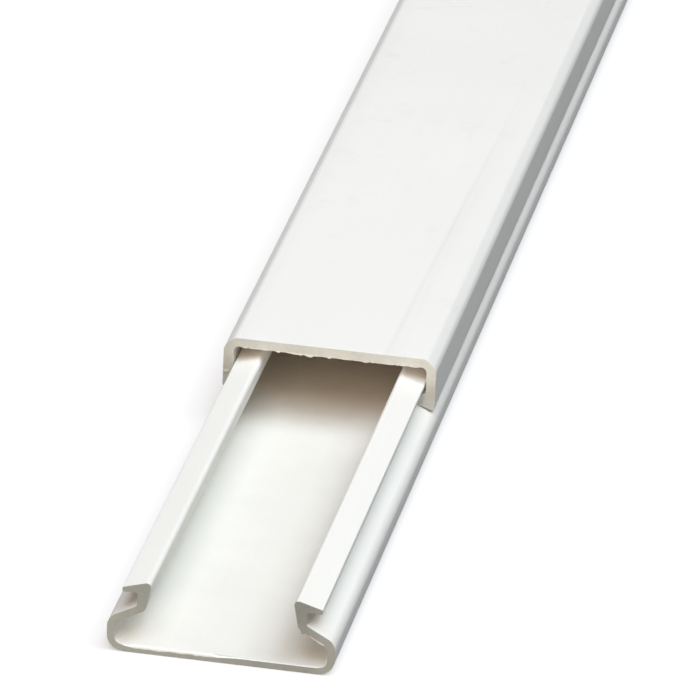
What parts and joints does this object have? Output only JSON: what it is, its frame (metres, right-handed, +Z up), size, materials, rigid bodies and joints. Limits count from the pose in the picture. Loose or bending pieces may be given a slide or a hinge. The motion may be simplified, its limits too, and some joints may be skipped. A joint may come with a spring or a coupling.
{
  "type": "cord cover raceway",
  "caption": "Straight two-piece surface raceway: a channel with inward-folded lips and a bevelled cover that snaps over it to hide cords.",
  "frame": {"origin": "middle of the base's flat underside, halfway along the base and halfway across", "axes": "+Y along the raceway from the open stretch of the base towards the covered end, +Z up away from the wall, +X across"},
  "size_m": [0.0334, 1.607, 0.0143],
  "materials": {
    "base_pvc": "satin white rigid PVC, as extruded",
    "cover_pvc": "satin white rigid PVC, as extruded"
  },
  "bodies": {
    "root": {"base_channel": "base_pvc", "snap_cover": "cover_pvc"}
  },
  "joints": []
}
